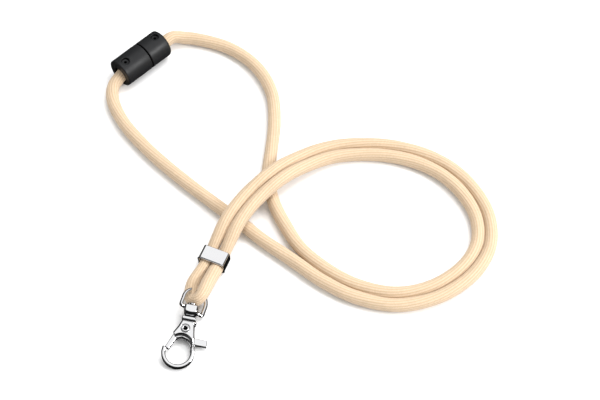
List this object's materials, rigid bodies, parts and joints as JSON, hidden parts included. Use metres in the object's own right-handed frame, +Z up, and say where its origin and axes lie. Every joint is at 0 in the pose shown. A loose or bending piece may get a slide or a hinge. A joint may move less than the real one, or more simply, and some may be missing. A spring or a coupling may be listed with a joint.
{
  "type": "badge lanyard",
  "caption": "Round braided neck cord joined by a breakaway barrel, doubled through a clamp band and folded through the eye of a swivel trigger hook.",
  "frame": {"origin": "middle of the box of the hardware (barrel, clamp, eye and hook) as it lies, on the surface that the lanyard lies on", "axes": "+Z up from the surface, +Y from the hook towards the breakaway barrel, +X towards the far side of the doubled loop"},
  "size_m": [0.1673, 0.1683, 0.013],
  "materials": {
    "cord": "cream tubular braid, soft and matt, with fine rows of ticks across it",
    "barrel": "charcoal moulded plastic with a soft satin sheen",
    "plated_metal": "bright nickel or chrome plate on die-cast and pressed metal"
  },
  "bodies": {
    "lanyard": {"breakaway_socket_half": "barrel", "breakaway_plug_half": "barrel", "clamp_band": "plated_metal", "cord_fold": "cord", "cord_inner_strand": "cord", "cord_outer_strand": "cord", "swivel_eye": "plated_metal"},
    "hook": {"hook_body": "plated_metal", "rivet": "plated_metal"},
    "gate": {"gate_lever": "plated_metal"}
  },
  "joints": [
    {"name": "swivel", "type": "hinge", "parent": "lanyard", "child": "hook", "pos_m": [0.0134, -0.0578, 0.00508], "axis": [0.1717, 0.9737, 0.1495], "continuous": true},
    {"name": "gate_pivot", "type": "hinge", "parent": "hook", "child": "gate", "pos_m": [0.01143, -0.0661, 0.00385], "axis": [0.0771, -0.1646, 0.9833], "range_deg": [0, 28], "stiffness_Nm_per_rad": 0.002, "springref_deg": -20.05}
  ]
}
